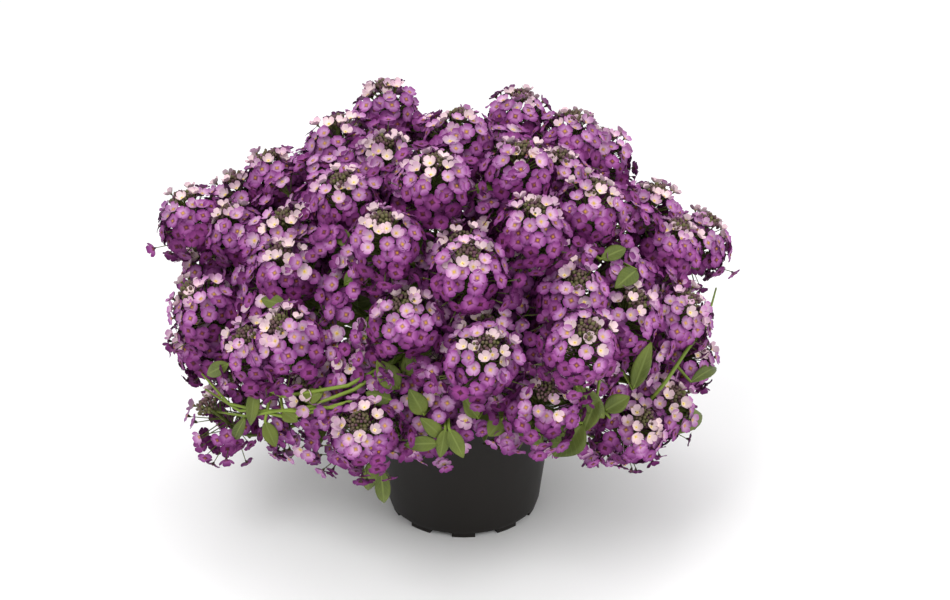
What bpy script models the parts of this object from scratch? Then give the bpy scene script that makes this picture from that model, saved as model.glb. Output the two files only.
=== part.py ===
"""Sweet alyssum in a round plastic growing pot. Metres, +Z up, origin under the middle of the pot."""

import math
import random

import bmesh
import bpy
import numpy as np
from mathutils import Matrix, Vector

MM = 0.001
CLEAR = 0.3  # gap between neighbouring pieces; every size below is in millimetres

POT_HEIGHT = 92
POT_RIM_R = 55
RIM_BAND = 12
WALL_TOP_R = 52.8
WALL_BOTTOM_R = 43.8
FOOT_R = 42
FOOT_INNER_R = 34
FOOT_GAP = 3.2
CENTRE_FOOT_R = 12
POT_WALL = 1.8
FLOOR_TOP = 6.4
POT_SIDES = 40
LUGS = 10
DRAIN_HOLES = 5
DRAIN_RING_R = 21
DRAIN_R = 4

SOIL_TOP = 81
SOIL_CROWN = 3
SOIL_SIDES = 20
STEM_HOLE_DEPTH = 20
STEM_RING_R = 19
HOLE_SIDES = 6
TRUNKS = 8
TRUNK_HALF = 2.0

TRUNK_LEAN = 0.42
TRUNK_LEVELS = (88, 96, 105, 115, 126, 138)
STALK_HALF = 1.0
HEAD_ROOM = 3.7  # from a stalk's middle to a head it passes
STALK_ROOM = 4.6  # from a stalk's middle to that of another
STALK_PUSH = 0.45
STALKS_PER_LEVEL = 2
LEAF_HALF_THICK = 0.4
LEAF_TILT = math.radians(58)
LEAF_LENGTH = (20, 31)
LEAF_SHAPE = 0.18  # half the widest width against the length
LEAF_OUTLINE = ((0.12, 0.22), (0.42, 1.0), (0.75, 0.72), (1.0, 0.12))
STALK_STEPS = (0.16, 0.5, 0.56, 1.0)
LEAF_STEP = 2
TWO_LEAVES = 0.22  # chance of a pair of leaves rather than one
DRAPE_CLEAR = 12  # the lowest leaves and petals hang this far above the surface
STEM_CORE_R = 44  # the main stems stay within this, and below this height
STEM_CORE_TOP = 149
HEAD_R = 20.5
PAIR_SPACING = 25
HEAD_COLUMNS = 4
CORE_SHARE = 0.62
ROW_TILT = {-1: math.radians(146), 0: math.radians(93), 1: math.radians(41)}
ROW_TWIST = 0.5
FACING = 0.6
AXIS_LIFT = 1.3  # how far a head turns up from the dome, against one outwards

VIEW_ELEVATION = math.radians(27)
EYE_DISTANCE = 1200
AIM = np.array([6.4, 0.0, 129.0])
AIM_UP = 111.4
DOME_CENTRE = np.array([-10.0, 0.0, 116.0])
DOME_SIZE = np.array([148.0, 126.0, 122.0])

# Where each head's knot of buds shows from the front: across and up from the middle of the pot's foot.
SINGLE_HEADS = (
    (-70, 209), (-67, 178), (-146, 140), (-44, 229), (-18, 178), (-41, 158), (-2, 213), (32, 224),
    (32, 193), (19, 174), (37, 161), (53, 190), (72, 174), (136, 155), (-143, 56), (-29, 113),
    (-9, 71), (35, 125), (60, 121), (69, 97), (97, 112), (123, 112), (130, 87), (45, 63), (-58, 44),
)
PAIRED_HEADS = (
    ((-154, 165), (-134, 160)), ((-127, 178), (-107, 191)), ((-100, 157), (-102, 138)),
    ((-43, 196), (-31, 188)), ((61, 211), (78, 203)), ((109, 170), (119, 152)),
    ((-151, 116), (-151, 93)), ((-121, 90), (-96, 94)), ((-86, 68), (-66, 80)),
    ((11, 98), (14, 85)), ((-4, 150), (2, 132)), ((40, 90), (52, 86)), ((100, 46), (118, 58)),
)
BACK_NODES = 12
BACK_PAIRS = 6

MATERIALS = {
    "pot": ((0.020, 0.018, 0.017), 0.55),
    "soil": ((0.045, 0.028, 0.018), 0.95),
    "green": ((0.130, 0.190, 0.045), 0.60),
    "petals": ((0.210, 0.050, 0.230), 0.65),
}


def clear_scene():
    for obj in list(bpy.data.objects):
        bpy.data.objects.remove(obj, do_unlink=True)


def collection(name, hidden=False):
    made = bpy.data.collections.new(name)
    bpy.context.scene.collection.children.link(made)
    made.hide_render = hidden
    return made


def material(name):
    colour, roughness = MATERIALS[name]
    made = bpy.data.materials.new(name)
    made.use_nodes = True
    made.diffuse_color = (*colour, 1)
    shader = made.node_tree.nodes["Principled BSDF"]
    shader.inputs["Base Color"].default_value = (*colour, 1)
    shader.inputs["Roughness"].default_value = roughness
    shader.inputs["Metallic"].default_value = 0
    return made


def add_object(name, bm, where, finish):
    """A bmesh in millimetres becomes a named object in metres."""
    bmesh.ops.recalc_face_normals(bm, faces=bm.faces)
    mesh = bpy.data.meshes.new(name)
    bm.to_mesh(mesh)
    bm.free()
    mesh.transform(Matrix.Scale(MM, 4))
    mesh.materials.append(finish)
    obj = bpy.data.objects.new(name, mesh)
    where.objects.link(obj)
    return obj


def cutter(name, bm, where):
    obj = add_object(name, bm, where, bpy.data.materials["pot"])
    obj.hide_render = True
    obj.display_type = "WIRE"
    return obj


def evaluated_mesh(obj):
    bpy.context.view_layer.update()
    return bpy.data.meshes.new_from_object(obj.evaluated_get(bpy.context.evaluated_depsgraph_get()))


def apply_boolean(obj, others, operation, solver="EXACT"):
    """One Boolean with a collection, applied, after which the collection's objects are removed."""
    joint = obj.modifiers.new("join", "BOOLEAN")
    joint.operand_type = "COLLECTION"
    joint.collection = others
    joint.operation = operation
    joint.solver = solver
    made = evaluated_mesh(obj)
    obj.modifiers.clear()
    old = obj.data
    obj.data = made
    bpy.data.meshes.remove(old)
    for other in list(others.objects):
        bpy.data.objects.remove(other, do_unlink=True)
    bpy.data.collections.remove(others)


def keep_outer_shell(mesh):
    """Drops the hollows and loose scraps that a union leaves, which are all smaller than the outer shell."""
    bm = bmesh.new()
    bm.from_mesh(mesh)
    unseen = set(bm.verts)
    shells = []
    while unseen:
        shell, edge_of_shell = set(), [unseen.pop()]
        while edge_of_shell:
            vert = edge_of_shell.pop()
            shell.add(vert)
            near = {edge.other_vert(vert) for edge in vert.link_edges} & unseen
            unseen -= near
            edge_of_shell.extend(near)
        shells.append(shell)
    largest = max(shells, key=len)
    bmesh.ops.delete(bm, geom=[vert for vert in bm.verts if vert not in largest], context="VERTS")
    bm.to_mesh(mesh)
    bm.free()


def turned(name, profile, sides, where, finish):
    """A closed profile from the axis to the axis, turned about Z by a Screw modifier and made a mesh."""
    bm = bmesh.new()
    points = [bm.verts.new((r, 0, z)) for r, z in profile]
    for a, b in zip(points, points[1:]):
        bm.edges.new((a, b))
    mesh = bpy.data.meshes.new(name + "_profile")
    bm.to_mesh(mesh)
    bm.free()
    mesh.transform(Matrix.Scale(MM, 4))
    obj = bpy.data.objects.new(name, mesh)
    where.objects.link(obj)
    screw = obj.modifiers.new("turn", "SCREW")
    screw.steps = sides
    screw.render_steps = sides
    screw.use_merge_vertices = True
    screw.merge_threshold = 0.00001
    obj.data = evaluated_mesh(obj)
    obj.modifiers.clear()
    obj.data.materials.clear()
    obj.data.materials.append(finish)
    bpy.data.meshes.remove(mesh)
    return obj


def pot_inner_radius(height):
    """Radius of the pot's inside wall at a height above the surface."""
    slope = (WALL_TOP_R - WALL_BOTTOM_R) / (POT_HEIGHT - RIM_BAND - FLOOR_TOP)
    return WALL_BOTTOM_R + slope * (height - FLOOR_TOP) - POT_WALL


def build_pot(where, cutters):
    rim_bottom = POT_HEIGHT - RIM_BAND
    floor_under = FOOT_GAP + 1.2
    profile = [
        (0, FLOOR_TOP), (pot_inner_radius(FLOOR_TOP), FLOOR_TOP), (pot_inner_radius(rim_bottom), rim_bottom),
        (POT_RIM_R - POT_WALL, rim_bottom + 2), (POT_RIM_R - POT_WALL, POT_HEIGHT), (POT_RIM_R - 0.6, POT_HEIGHT),
        (POT_RIM_R, POT_HEIGHT - 0.6), (POT_RIM_R - 0.6, rim_bottom), (WALL_TOP_R, rim_bottom - 1),
        (WALL_BOTTOM_R, FLOOR_TOP - 0.4), (FOOT_R + 1, FOOT_GAP), (FOOT_R, FOOT_GAP),
        (FOOT_INNER_R, FOOT_GAP), (FOOT_INNER_R - 1, floor_under), (CENTRE_FOOT_R + 1, floor_under),
        (CENTRE_FOOT_R, 0), (0, 0),
    ]
    pot = turned("pot", profile, POT_SIDES, where, bpy.data.materials["pot"])
    cut_drain_holes(pot, cutters)
    raise_lugs(pot.data)
    pot.data.shade_smooth()
    pot.data.set_sharp_from_angle(angle=math.radians(30))


def cut_drain_holes(pot, cutters):
    holes = bpy.data.collections.new("drain_holes")
    cutters.children.link(holes)
    for index in range(DRAIN_HOLES):
        angle = math.tau * (index + 0.25) / DRAIN_HOLES
        bm = bmesh.new()
        place = Matrix.Translation(
            (DRAIN_RING_R * math.cos(angle), DRAIN_RING_R * math.sin(angle), FLOOR_TOP / 2)
        )
        bmesh.ops.create_cone(
            bm, cap_ends=True, segments=8, radius1=DRAIN_R, radius2=DRAIN_R, depth=4 * FLOOR_TOP, matrix=place
        )
        cutter(f"drain_hole_{index}", bm, holes)
    apply_boolean(pot, holes, "DIFFERENCE")


def raise_lugs(mesh):
    """Every other pair of the foot ring's faces goes down to the surface, as ten short lugs."""
    bm = bmesh.new()
    bm.from_mesh(mesh)
    lug_faces = {}
    for face in bm.faces:
        middle = face.calc_center_median() / MM
        reach = math.hypot(middle.x, middle.y)
        if abs(middle.z - FOOT_GAP) > 0.1 or not FOOT_INNER_R < reach < FOOT_R:
            continue
        turn = math.degrees(math.atan2(middle.y, middle.x)) + 90 + 180 / (2 * LUGS)
        lug, share = divmod(turn % 360 * LUGS / 360, 1)
        if share < 0.5:
            lug_faces.setdefault(lug, []).append(face)
    for faces in lug_faces.values():
        region = bmesh.ops.extrude_face_region(bm, geom=faces)["geom"]
        moved = [item for item in region if isinstance(item, bmesh.types.BMVert)]
        bmesh.ops.translate(bm, verts=moved, vec=(0, 0, -FOOT_GAP * MM))
        bmesh.ops.delete(bm, geom=faces, context="FACES_ONLY")
    bmesh.ops.recalc_face_normals(bm, faces=bm.faces)
    bm.to_mesh(mesh)
    bm.free()


def share_out(heads):
    """The heads of each main stem, by their direction round the pot's axis, and where that stem stands."""
    centres = heads[0]
    order = sorted(range(len(centres)), key=lambda i: math.atan2(centres[i][1], centres[i][0]))
    shares, feet = [], []
    for members in np.array_split(order, TRUNKS):
        shares.append(sorted((i for i in members if not stands_on_partner(heads, i)), key=lambda i: centres[i][2]))
        toward = sum(unit(centres[i] * [1, 1, 0]) for i in members)
        feet.append(unit(toward) * STEM_RING_R)
    return shares, feet


def build_soil(where, cutters, feet):
    bottom = FLOOR_TOP + CLEAR
    profile = [
        (0, SOIL_TOP + SOIL_CROWN), (STEM_RING_R + 12, SOIL_TOP + SOIL_CROWN - 1),
        (pot_inner_radius(SOIL_TOP - 2) - CLEAR, SOIL_TOP - 2),
        (pot_inner_radius(bottom) - CLEAR, bottom), (0, bottom),
    ]
    soil = turned("soil", profile, SOIL_SIDES, where, bpy.data.materials["soil"])
    holes = bpy.data.collections.new("stem_holes")
    cutters.children.link(holes)
    bottom_of_hole = SOIL_TOP - STEM_HOLE_DEPTH
    radius = TRUNK_HALF * math.sqrt(2) / math.cos(math.pi / HOLE_SIDES) + CLEAR
    for index, foot in enumerate(feet):
        bm = bmesh.new()
        place = Matrix.Translation((foot[0], foot[1], bottom_of_hole + STEM_HOLE_DEPTH))
        bmesh.ops.create_cone(
            bm, cap_ends=True, segments=HOLE_SIDES, radius1=radius, radius2=radius,
            depth=2 * STEM_HOLE_DEPTH, matrix=place,
        )
        cutter(f"stem_hole_{index}", bm, holes)
    apply_boolean(soil, holes, "DIFFERENCE")
    soil.data.shade_smooth()
    soil.data.set_sharp_from_angle(angle=math.radians(30))


def unit(vector):
    return vector / np.linalg.norm(vector)


def view_ray(across, up):
    """Eye point and direction of the line of sight through a spot seen from the front."""
    forward = np.array([0, math.cos(VIEW_ELEVATION), -math.sin(VIEW_ELEVATION)])
    up_axis = np.array([0, math.sin(VIEW_ELEVATION), math.cos(VIEW_ELEVATION)])
    spot = AIM + np.array([across - AIM[0], 0, 0]) + up_axis * (up - AIM_UP)
    eye = AIM - forward * EYE_DISTANCE
    return eye, unit(spot - eye)


def on_dome(across, up):
    """The point of the plant's dome seen there, or the nearest one to it past the dome's edge."""
    eye, ray = view_ray(across, up)
    start = (eye - DOME_CENTRE) / DOME_SIZE
    step = ray / DOME_SIZE
    a, b, c = step @ step, start @ step, start @ start - 1
    root = b * b - a * c
    return eye + ray * (-b - math.sqrt(max(root, 0))) / a, ray


def head_axis(point):
    outward = unit((point - DOME_CENTRE) / DOME_SIZE**2)
    return unit(outward + np.array([0, 0, AXIS_LIFT]))


def back_heads(rng, front):
    """Heads round the back, spread by the golden angle and kept off those already placed."""
    spots = []
    golden = math.pi * (3 - math.sqrt(5))
    wanted = BACK_NODES + BACK_PAIRS
    placed = [point for point, _ in front]
    index = 0
    while len(spots) < wanted:
        height = 0.93 - 1.28 * (index + 0.5) / 46
        angle = index * golden + rng.uniform(-0.15, 0.15)
        reach = math.sqrt(1 - height * height)
        point = DOME_CENTRE + DOME_SIZE * np.array([reach * math.cos(angle), reach * math.sin(angle), height])
        index += 1
        if index > 46:
            break
        if point[1] < 12 or min(np.linalg.norm(point - other) for other in placed) < 33:
            continue
        spots.append(point)
        placed.append(point)
    return spots


def lay_out_heads():
    """One entry for each flower node: the centres, axes and radii of its one or two heads."""
    rng = random.Random(7)
    groups = [[spot] for spot in SINGLE_HEADS] + [list(pair) for pair in PAIRED_HEADS]
    points, rays, node_of = [], [], []
    for node, spots in enumerate(groups):
        for across, up in spots:
            point, ray = on_dome(across, up)
            points.append(point + ray * rng.uniform(-4, 16))
            rays.append(ray)
            node_of.append(node)
    back = back_heads(rng, list(zip(points, rays)))
    loose = list(range(len(back)))
    node = len(groups)
    while loose:
        first = loose.pop(0)
        members = [first]
        near = sorted(loose, key=lambda other: np.linalg.norm(back[other] - back[first]))
        if near and node - len(groups) < BACK_PAIRS and np.linalg.norm(back[near[0]] - back[first]) < 50:
            members.append(near[0])
            loose.remove(near[0])
        for member in members:
            points.append(back[member])
            rays.append(unit(back[member] - DOME_CENTRE))
            node_of.append(node)
        node += 1
    axes = np.array([head_axis(point) for point in points])
    sizes = np.array([HEAD_R * rng.uniform(0.95, 1.03) for _ in points])
    centres = np.array(points) - axes * sizes[:, None] * 0.8
    centres = spread(centres, sizes, np.array(rays), np.array(node_of))
    return centres, axes, sizes, node_of


def spread(centres, sizes, rays, node_of):
    """Moves heads apart, mostly along the line of sight, and holds the two of a pair at their spacing."""
    wanted = centres.copy()
    touching = sizes[:, None] + sizes[None, :] + 2 * CLEAR
    paired = node_of[:, None] == node_of[None, :]
    for _ in range(400):
        between = centres[None, :, :] - centres[:, None, :]
        distance = np.linalg.norm(between, axis=2) + np.eye(len(centres))
        missing = np.where(paired, PAIR_SPACING - distance, np.maximum(touching - distance, 0))
        np.fill_diagonal(missing, 0)
        centres = centres - 0.3 * np.einsum("ijk,ij->ik", between, missing / distance)
        away = centres - wanted
        sideways = away - rays * np.einsum("ij,ij->i", away, rays)[:, None]
        centres = centres - 0.02 * sideways
        centres = clear_of_pot(centres, sizes)
    return centres


def clear_of_pot(centres, sizes):
    for centre, size in zip(centres, sizes):
        centre[2] = max(centre[2], size + DRAPE_CLEAR)
        reach = math.hypot(centre[0], centre[1])
        needed = POT_RIM_R + size + 2
        if centre[2] < POT_HEIGHT + size + 2 and reach < needed:
            centre[:2] *= 1 + 0.3 * (needed / reach - 1)
            centre[2] += 0.5
        elif centre[2] < STEM_CORE_TOP + size and reach < STEM_CORE_R + size:
            centre[:2] *= 1 + 0.3 * ((STEM_CORE_R + size) / reach - 1)
            centre[2] += 0.3
    return centres


def frame_along(axis, spin):
    """Three unit axes with the third along the axis, turned about it by the spin."""
    side = unit(np.cross(axis, [0.31, 0.94, 0.12]))
    lift = np.cross(axis, side)
    turned_side = side * math.cos(spin) + lift * math.sin(spin)
    return turned_side, np.cross(axis, turned_side), axis


def add_head(bm, centre, axis, size, spin, rng, partner=None):
    """Two rows of four-petalled florets raised from a small core, a knot of buds on top, a flat seat below.

    A floret that would face the other head of a pair isn't raised."""
    side, lift, up = frame_along(axis, spin)
    bmesh.ops.create_cone(bm, cap_ends=True, segments=HEAD_COLUMNS, radius1=1, radius2=1, depth=2)
    around = [edge for edge in bm.edges if abs(edge.verts[0].co.z - edge.verts[1].co.z) > 1]
    bmesh.ops.subdivide_edges(bm, edges=around, cuts=1)
    florets = [face for face in bm.faces if abs(face.normal.z) < 0.5]
    caps = [face for face in bm.faces if abs(face.normal.z) > 0.5]
    top = max(caps, key=lambda face: face.calc_center_median().z)
    core = CORE_SHARE * size
    for vert in bm.verts:
        row = round(vert.co.z)
        angle = math.atan2(vert.co.y, vert.co.x) + row * ROW_TWIST * math.pi / HEAD_COLUMNS
        ring = math.sin(ROW_TILT[row])
        flat = side * math.cos(angle) * ring + lift * math.sin(angle) * ring + up * math.cos(ROW_TILT[row])
        vert.co = Vector(centre + flat * core)
    for face in florets:
        outward = unit(np.array(face.calc_center_median()) - centre)
        if partner is None or outward @ unit(partner - centre) < FACING:
            raise_floret(bm, face, centre, size * rng.uniform(0.95, 1.0))
    raise_buds(bm, top, centre, up, size)


def raise_floret(bm, face, centre, reach):
    """A face of the core flares out into a flat cross of four petals with notches between them."""
    middle = unit(np.array(face.calc_center_median()) - centre)
    petal_face = bmesh.ops.extrude_discrete_faces(bm, faces=[face])["faces"][0]
    tips = list(petal_face.verts)
    corners = {tip: unit(np.array(tip.co) - centre) for tip in tips}
    notches = [bmesh.utils.edge_split(edge, edge.verts[0], 0.5)[1] for edge in list(petal_face.edges)]
    for notch in notches:
        edge_middle = unit(np.array(notch.co) - centre)
        notch.co = Vector(centre + unit(middle * 0.52 + edge_middle * 0.48) * reach * 0.93)
    for tip in tips:
        tip.co = Vector(centre + unit(middle * 0.08 + corners[tip] * 0.92) * reach)
    split_off_petals(bm, petal_face, tips, notches)


def split_off_petals(bm, petal_face, tips, notches):
    sides = {f for v in notches for f in v.link_faces} - {petal_face}
    loop = list(petal_face.verts)
    for tip in tips:
        place = loop.index(tip)
        before, after = loop[place - 1], loop[(place + 1) % len(loop)]
        shared = next(f for f in before.link_faces if after in f.verts and tip in f.verts and f not in sides)
        bmesh.utils.face_split(shared, before, after)
    for side in sides:
        notch = next(v for v in side.verts if v in notches)
        roots = [v for v in side.verts if v not in tips and v is not notch]
        for root in roots:
            holder = next(f for f in notch.link_faces if root in f.verts)
            bmesh.utils.face_split(holder, notch, root)


def raise_buds(bm, face, centre, up, size):
    """The top of the core rises into a low knot."""
    knot = bmesh.ops.extrude_discrete_faces(bm, faces=[face])["faces"][0]
    for vert in knot.verts:
        flat = np.array(vert.co) - centre
        level = flat @ up
        vert.co = Vector(centre + (flat - up * level) * 0.85 + up * size * 0.80)
    peak = bmesh.ops.poke(bm, faces=[knot])["verts"][0]
    peak.co = Vector(centre + up * size * 0.97)


def build_heads(where, cutters, heads):
    centres, axes, sizes, node_of = heads
    rng = random.Random(11)
    for node in range(max(node_of) + 1):
        members = [i for i, owner in enumerate(node_of) if owner == node]
        made = []
        for i in members:
            bm = bmesh.new()
            partner = next((centres[j] for j in members if j != i), None)
            add_head(bm, centres[i], axes[i], sizes[i], rng.uniform(0, math.tau), rng, partner)
            made.append(bm)
        name = f"head_{node + 1:02d}" if len(members) == 1 else f"heads_{node + 1:02d}"
        obj = add_object(name, made[0], where, bpy.data.materials["petals"])
        if len(made) > 1:
            others = bpy.data.collections.new("second_head")
            cutters.children.link(others)
            add_object("second_head", made[1], others, bpy.data.materials["petals"])
            apply_boolean(obj, others, "UNION", "MANIFOLD")
            keep_outer_shell(obj.data)


def corners_at(centre, along, across, half_wide, half_thick):
    """Four corners round a centre, counter-clockwise as seen from the growing end."""
    side = unit(across - along * (across @ along))
    lift = np.cross(along, side)
    wide, thick = side * half_wide, lift * half_thick
    return [centre + wide + thick, centre - wide + thick, centre - wide - thick, centre + wide - thick]


def grow(bm, face, stations):
    """Extrudes a four-sided face through stations of (centre, along, across, half width, half thickness)."""
    for centre, along, across, half_wide, half_thick in stations:
        face = bmesh.ops.extrude_discrete_faces(bm, faces=[face])["faces"][0]
        verts = list(face.verts)
        middle = np.mean([vert.co for vert in verts], axis=0)
        old = [unit(np.array(vert.co) - middle) for vert in verts]
        corners = corners_at(centre, along, across, half_wide, half_thick)
        fit = max(range(4), key=lambda turn: sum(old[i] @ unit(corners[(i + turn) % 4] - centre) for i in range(4)))
        for i, vert in enumerate(verts):
            vert.co = Vector(corners[(i + fit) % 4])
    return face


def bezier(points, t):
    a, b, c, d = points
    return a * (1 - t) ** 3 + 3 * b * t * (1 - t) ** 2 + 3 * c * t * t * (1 - t) + d * t**3


def head_seat(heads, i):
    """The point just under a head's flat seat, where its stalk ends."""
    centres, axes, sizes, _ = heads
    return centres[i] + axes[i] * (CORE_SHARE * sizes[i] * math.cos(ROW_TILT[-1]) - CLEAR)


def trunk_stations(foot):
    """The main stem's centres, up out of the soil and leaning outwards."""
    lean = unit(foot) * TRUNK_LEAN
    return [foot + lean * (z - TRUNK_LEVELS[0]) + np.array([0, 0, z]) for z in TRUNK_LEVELS]


def stands_on_partner(heads, i):
    """Whether a head of a pair sits right on top of the other one, which then carries it."""
    centres, axes, sizes, node_of = heads
    foot = centres[i] - axes[i] * sizes[i] * 0.8
    return any(node_of[j] == node_of[i] and centres[j][2] < centres[i][2]
               and np.linalg.norm(foot - centres[j]) < sizes[j] for j in range(len(centres)))


def stalk_path(start, leave, heads, i, taken):
    """Centres of a stalk from its trunk to a head's seat, bent clear of the heads and of the stalks before it."""
    centres, axes, sizes, _ = heads
    below = centres[i] - axes[i] * sizes[i] * 1.1
    length = np.linalg.norm(below - start)
    control = [start, start + leave * length * 0.3, below - axes[i] * length * 0.3, below]
    path = [start] + [bezier(control, t) for t in STALK_STEPS]
    stalks = np.array([point for point, _ in taken if np.linalg.norm(point - below) > 5])
    for _ in range(60):
        for k in range(1, len(path)):
            for share in (0.25, 0.5, 0.75, 1.0):
                point = path[k - 1] * (1 - share) + path[k] * share
                away = centres - point
                distance = np.linalg.norm(away, axis=1)
                missing = np.maximum(sizes + HEAD_ROOM - distance, 0)
                push = -(away * (missing / distance)[:, None]).sum(axis=0) * 0.4
                if len(stalks):
                    away = stalks - point
                    distance = np.linalg.norm(away, axis=1)
                    missing = np.maximum(STALK_ROOM - distance, 0)
                    push -= (away * (missing / distance)[:, None]).sum(axis=0) * STALK_PUSH
                if math.hypot(point[0], point[1]) < POT_RIM_R + 3:
                    push[2] += 0.4 * max(POT_HEIGHT + 3.5 - point[2], 0)
                if k < len(path) - 1:
                    path[k] = path[k] + push
                if 0 < k - 1 and share < 1:
                    path[k - 1] = path[k - 1] + push
    return path[1:] + [head_seat(heads, i)]


def side_faces(face):
    """The four faces round the tube segment that ends in this face."""
    return [next(other for other in edge.link_faces if other is not face) for edge in face.edges]


def add_stalk(bm, face, heads, i, rng, leaf_spots, taken):
    start = np.array(face.calc_center_median())
    toward = unit(heads[0][i] - start)
    leave = unit(np.array(face.normal) * 0.5 + toward * 0.6 + np.array([0, 0, 0.5]))
    path = stalk_path(start, leave, heads, i, taken)
    across = np.cross(toward, [0.0, 0.0, 1.0])
    before = start
    for k, centre in enumerate(path):
        along = heads[1][i] if k == len(path) - 1 else unit(path[k + 1] - before)
        face = grow(bm, face, [(centre, along, across, STALK_HALF, STALK_HALF)])
        if k == LEAF_STEP:
            leaf_spots.append((side_faces(face), along, rng.random()))
        before = centre
    return path


def build_stems(where, heads, shares, feet):
    """Eight leafy stems, each with the heads of its own sector round the pot's axis."""
    centres = heads[0]
    rng = random.Random(40)
    taken = [(point, 3.0) for foot in feet for point, _ in along_path(trunk_stations(foot))]
    for centre, axis, size in zip(*heads[:3]):
        taken += [(centre - axis * size * share, 2.0) for share in (0.7, 0.9, 1.1)]
    grown = []
    for members, foot in zip(shares, feet):
        stations = trunk_stations(foot)
        bm = bmesh.new()
        bottom = SOIL_TOP - STEM_HOLE_DEPTH + CLEAR
        place = Matrix.Translation((foot[0], foot[1], (bottom + TRUNK_LEVELS[0]) / 2))
        size = Matrix.Diagonal((2 * TRUNK_HALF, 2 * TRUNK_HALF, TRUNK_LEVELS[0] - bottom, 1))
        bmesh.ops.create_cube(bm, size=1, matrix=place @ size)
        bm.normal_update()
        top = max(bm.faces, key=lambda face: face.calc_center_median().z)
        rings = []
        for before, centre in zip(stations, stations[1:]):
            top = grow(bm, top, [(centre, unit(centre - before), np.array([1.0, 0.2, 0.0]), TRUNK_HALF * 0.85,
                                  TRUNK_HALF * 0.85)])
            rings.append(side_faces(top))
        leaf_spots = []
        for place, i in enumerate(members):
            bm.normal_update()
            ring = rings[min(place // STALKS_PER_LEVEL, len(rings) - 1)]
            toward = unit(centres[i] - np.array(ring[0].calc_center_median()))
            face = max(ring, key=lambda side: np.array(side.normal) @ toward)
            ring.remove(face)
            start = np.array(face.calc_center_median())
            taken += along_path([start] + add_stalk(bm, face, heads, i, rng, leaf_spots, taken))
        leaf_spots += [(ring, np.array([0.0, 0.0, 1.0]), rng.random()) for ring in rings]
        grown.append((bm, leaf_spots))
    add_leaves(grown, heads, taken, rng)
    for index, (bm, _) in enumerate(grown):
        obj = add_object(f"leafy_stem_{index + 1}", bm, where, bpy.data.materials["green"])
        obj.data.shade_smooth()
        obj.data.set_sharp_from_angle(angle=math.radians(50))


def leaf_stations(root, normal, along, length, half_wide, droop):
    """A blade that leaves its stem at a slant, widest at a third, and bends down to its tip."""
    direction = unit(along * math.cos(LEAF_TILT) + normal * math.sin(LEAF_TILT))
    across = np.cross(direction, along)
    stations = []
    for share, width in LEAF_OUTLINE:
        centre = root + direction * length * share - np.array([0, 0, 1]) * droop * length * share**2
        slope = unit(direction - np.array([0, 0, 1]) * droop * 2 * share)
        stations.append((centre, slope, across, half_wide * width, LEAF_HALF_THICK))
    return stations


def along_path(path):
    """Points every few millimetres along a stalk, with the room it needs, apart from its first stretch."""
    points = []
    for a, b in zip(path, path[1:]):
        count = max(1, round(np.linalg.norm(b - a) / 3))
        points += [(a + (b - a) * (k + 1) / count, 1.8) for k in range(count)]
    return points[1:]


def blade_points(stations):
    """Points close together along a blade's middle and both edges."""
    points = []
    for (a, _, side, wide_a, _), (b, _, _, wide_b, _) in zip(stations, stations[1:]):
        for share in (0.0, 0.33, 0.67):
            centre, wide = a + (b - a) * share, wide_a + (wide_b - wide_a) * share
            points += [centre, centre + unit(side) * wide * 0.8, centre - unit(side) * wide * 0.8]
    return points[2:] + [stations[-1][0]]


def leaf_fits(stations, heads, taken):
    centres, _, sizes, _ = heads
    stands = np.array([point for point, _ in taken])
    rooms = np.array([room for _, room in taken])
    for point in blade_points(stations):
        if point[2] < DRAPE_CLEAR or (point[2] < POT_HEIGHT + 2 and math.hypot(point[0], point[1]) < POT_RIM_R + 2):
            return False
        if (np.linalg.norm(centres - point, axis=1) < sizes + 0.8).any():
            return False
    for point in blade_points(stations)[3:]:
        if (np.linalg.norm(stands - point, axis=1) < rooms + 1.4).any():
            return False
    return True


def add_leaves(grown, heads, taken, rng):
    """A leaf or two at each leaf spot, where nothing else stands in the way."""
    for bm, leaf_spots in grown:
        for sides, along, chance in leaf_spots:
            bm.normal_update()
            wanted = 2 if chance < TWO_LEAVES else 1
            for face in sorted(sides, key=lambda side: -side.normal.z):
                root = np.array(face.calc_center_median())
                length = rng.uniform(*LEAF_LENGTH)
                stations = leaf_stations(
                    root, np.array(face.normal), along, length, length * LEAF_SHAPE, rng.uniform(0.1, 0.45)
                )
                if not wanted or not leaf_fits(stations, heads, taken):
                    continue
                wanted -= 1
                grow(bm, face, stations)
                taken += [(point, 1.2) for point in blade_points(stations)]


def main():
    clear_scene()
    for name in MATERIALS:
        material(name)
    plant = collection("sweet_alyssum")
    cutters = collection("cutters", hidden=True)
    build_pot(plant, cutters)
    heads = lay_out_heads()
    shares, feet = share_out(heads)
    build_soil(plant, cutters, feet)
    build_heads(plant, cutters, heads)
    build_stems(plant, heads, shares, feet)


main()
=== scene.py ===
"""Sweet alyssum in its pot: petals, buds, leaves, stems, compost and pot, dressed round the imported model."""
import math
import random

import bmesh
import bpy
import numpy as np
from mathutils import Matrix, Vector


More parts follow.
